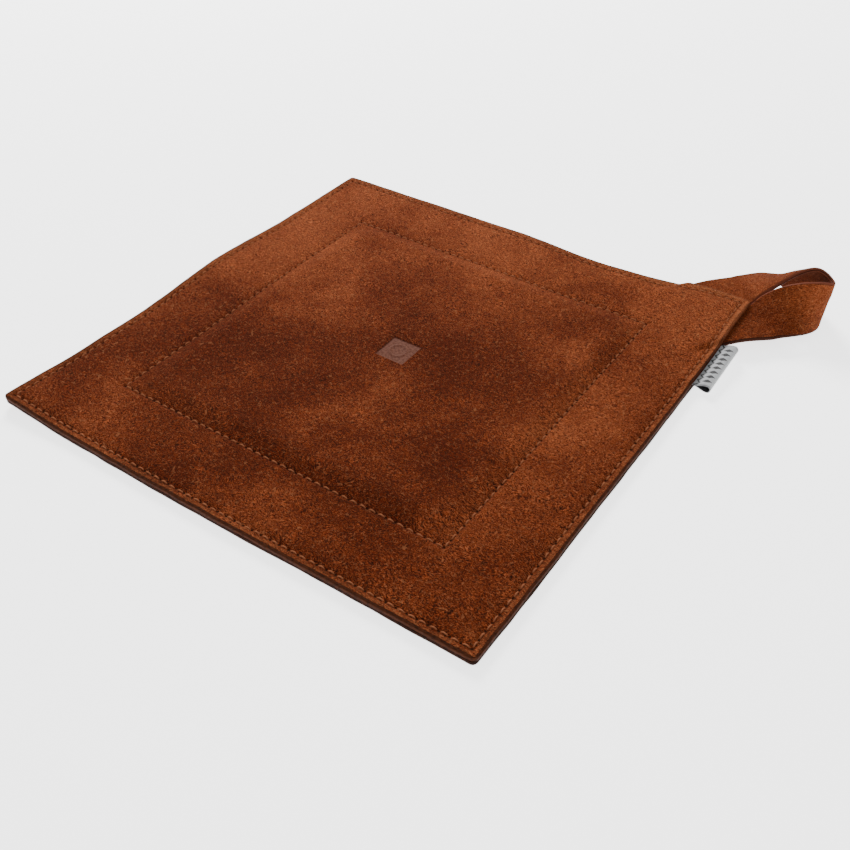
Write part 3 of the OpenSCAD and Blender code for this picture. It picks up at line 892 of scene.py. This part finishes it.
def ribbon_material():
    """Grey woven tape with a black sawtooth beside the pad and a row of plain lozenges."""
    n = Nodes("label_outside")
    at = n.plan()
    x, arc = n.split(at)
    weave = n.times(ribs(n, x, WEFT_PITCH), ribs(n, arc, WARP_PITCH))
    upper_edge = float(fold_run()[-1]) - LABEL_IN         # where the upper layer meets the pad's edge
    from_pad = n.math("MINIMUM", n.math("SUBTRACT", arc, LABEL_IN), n.math("SUBTRACT", upper_edge, arc))
    tooth = n.math("MULTIPLY_ADD", n.math("PINGPONG", x, TOOTH), TOOTH_RISE, TOOTH_FROM)
    teeth = n.math("LESS_THAN", n.math("ABSOLUTE", n.math("SUBTRACT", from_pad, tooth)), TOOTH_LINE)
    up = n.times(n.math("ABSOLUTE", n.math("SUBTRACT", from_pad, LOZENGE_AT)), 0.5)
    spread = n.math("ADD", n.math("PINGPONG", n.math("ADD", x, 0.3), LOZENGE), up)
    half = (LABEL_TO - LABEL_FROM) / 2
    inside = n.math("LESS_THAN", n.math("ABSOLUTE", n.math("SUBTRACT", x, half)), half - LOZENGE_MARGIN)
    mark = n.math("MAXIMUM", teeth, n.times(n.math("LESS_THAN", spread, LOZENGE_SIZE), inside))
    colour = n.blend(n.noise(at, 0.8, 3, 0.6), opaque(TAPE_DARK), opaque(TAPE_PALE))
    colour = n.blend(n.range(weave, -0.6, 0.6, 0.0, 0.22), colour, opaque(TAPE_SHADE))
    colour = n.blend(mark, colour, opaque(TAPE_MARK))
    colour = n.blend(n.times(n.attribute("edge"), 0.6), colour, opaque(TAPE_EDGE))
    n.set(Base_Color=colour, Roughness=0.5, Sheen_Weight=0.15, Specular_IOR_Level=0.45,
          Normal=n.bump(weave, 0.00006))
    return n.material


def lining_material():
    """The tape's black inside."""
    n = Nodes("label_inside")
    weft = ribs(n, n.split(n.plan())[0], WEFT_PITCH)
    colour = n.blend(n.range(weft, -1, 1), opaque(LINING_DARK), opaque(LINING_PALE))
    n.set(Base_Color=colour, Roughness=0.7, Normal=n.bump(weft, 0.00005))
    return n.material


def floor_material():
    n = Nodes("pale_floor")
    at = n.add("ShaderNodeTexCoord").outputs["Object"]
    colour = n.blend(n.noise(at, 3.0, 2), opaque(FLOOR_DARK), opaque(FLOOR_PALE))
    n.set(Base_Color=colour, Roughness=0.9, Specular_IOR_Level=0.1, Emission_Color=(1, 1, 1, 1),
          Emission_Strength=FLOOR_GLOW)
    return n.material


# ---- Camera, floor and light ----

CAMERA_TARGET, CAMERA_DISTANCE = (30.8, -24.1, 0), 358.6
CAMERA_AZIMUTH, CAMERA_ELEVATION, CAMERA_ROLL = 35.53, 41.12, 0.97     # degrees
CAMERA_LENS = 43.25
FLOOR_SIZE, FLOOR_GAP = 6.0, 0.0001    # metres
WORLD_LIGHT = 0.68


def camera():
    a, e = math.radians(CAMERA_AZIMUTH), math.radians(CAMERA_ELEVATION)
    back = Vector((math.sin(a) * math.cos(e), -math.cos(a) * math.cos(e), math.sin(e)))
    data = bpy.data.cameras.new("camera")
    data.lens, data.sensor_width = CAMERA_LENS, 36
    data.clip_start, data.clip_end = 0.01, 20
    cam = bpy.data.objects.new("camera", data)
    bpy.context.scene.collection.objects.link(cam)
    cam.rotation_mode = "QUATERNION"
    roll = Matrix.Rotation(-math.radians(CAMERA_ROLL), 3, "Z")
    cam.rotation_quaternion = (back.to_track_quat("Z", "Y").to_matrix() @ roll).to_quaternion()
    cam.location = (Vector(CAMERA_TARGET) + back * CAMERA_DISTANCE) * MM
    bpy.context.scene.camera = cam


def area_light(name, place, size, power):
    """A round soft light that points at the pad's centre. place and size are in metres, power in watts."""
    data = bpy.data.lights.new(name, "AREA")
    data.shape, data.size, data.energy = "DISK", size, power
    lamp = bpy.data.objects.new(name, data)
    bpy.context.scene.collection.objects.link(lamp)
    lamp.location = place
    lamp.rotation_mode = "QUATERNION"
    lamp.rotation_quaternion = (-Vector(place)).to_track_quat("-Z", "Y")


def studio():
    low = min(0.0, float(cad_box[0].z)) - FLOOR_GAP
    mesh = bpy.data.meshes.new("floor")
    corners = [(x * FLOOR_SIZE, y * FLOOR_SIZE, low) for x, y in ((-1, -1), (1, -1), (1, 1), (-1, 1))]
    mesh.from_pydata(corners, [], [[0, 1, 2, 3]])
    mesh.materials.append(floor_material())
    floor = bpy.data.objects.new("floor", mesh)
    bpy.context.scene.collection.objects.link(floor)
    world = bpy.data.worlds.new("studio")
    world.use_nodes = True
    background = world.node_tree.nodes["Background"]
    background.inputs["Color"].default_value = (1, 1, 1, 1)
    background.inputs["Strength"].default_value = WORLD_LIGHT
    bpy.context.scene.world = world
    area_light("key", (-0.75, 0.75, 0.7), 0.5, 27)
    area_light("fill", (0.9, -0.5, 0.9), 0.9, 2)


# ---- Putting it together ----

camera()
studio()

upper_suede = suede("upper_suede", paint=0.8, stamped=True)
lower_suede = suede("lower_suede", paint=0.2)
strap_suede = suede("strap_suede", paint=1.3, brown=PAINT_RED_BROWN, coarse=0.6, on_strap=True)
sewing_thread = thread_material()

TOP_SEED, BOTTOM_SEED, STITCH_SEED = 61, 71, 81

top = panel("upper_panel", top_face, top_inside, TOP_SEED, upper_suede, marks=True)
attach(top, "pad")
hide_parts("top_panel")

bottom = panel("lower_panel", bottom_face, bottom_inside, BOTTOM_SEED, lower_suede)
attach(bottom, "pad")
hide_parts("bottom_panel")

felt = felt_pad(felt_material())
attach(felt, "pad")
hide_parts("insulating_felt")

for seam, half, count in (("edge", EDGE_SEAM, EDGE_STITCHES), ("centre", CENTRE_SEAM, CENTRE_STITCHES)):
    for layer, face, side in (("needle", top_face, 1), ("bobbin", bottom_face, -1)):
        row = stitches(f"{seam}_{layer}_stitches", half, count, face, side, sewing_thread,
                       STITCH_SEED + count + side)
        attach(row, "pad")
        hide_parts(f"{seam}_{layer}_thread")

loop_strap, strap_length = strap(strap_suede)
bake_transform(loop_strap)
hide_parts("hang_loop", "loop_tails")

ribbon, ribbon_length = label(ribbon_material(), lining_material())
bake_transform(ribbon)
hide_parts("label_tab", "label_tails")
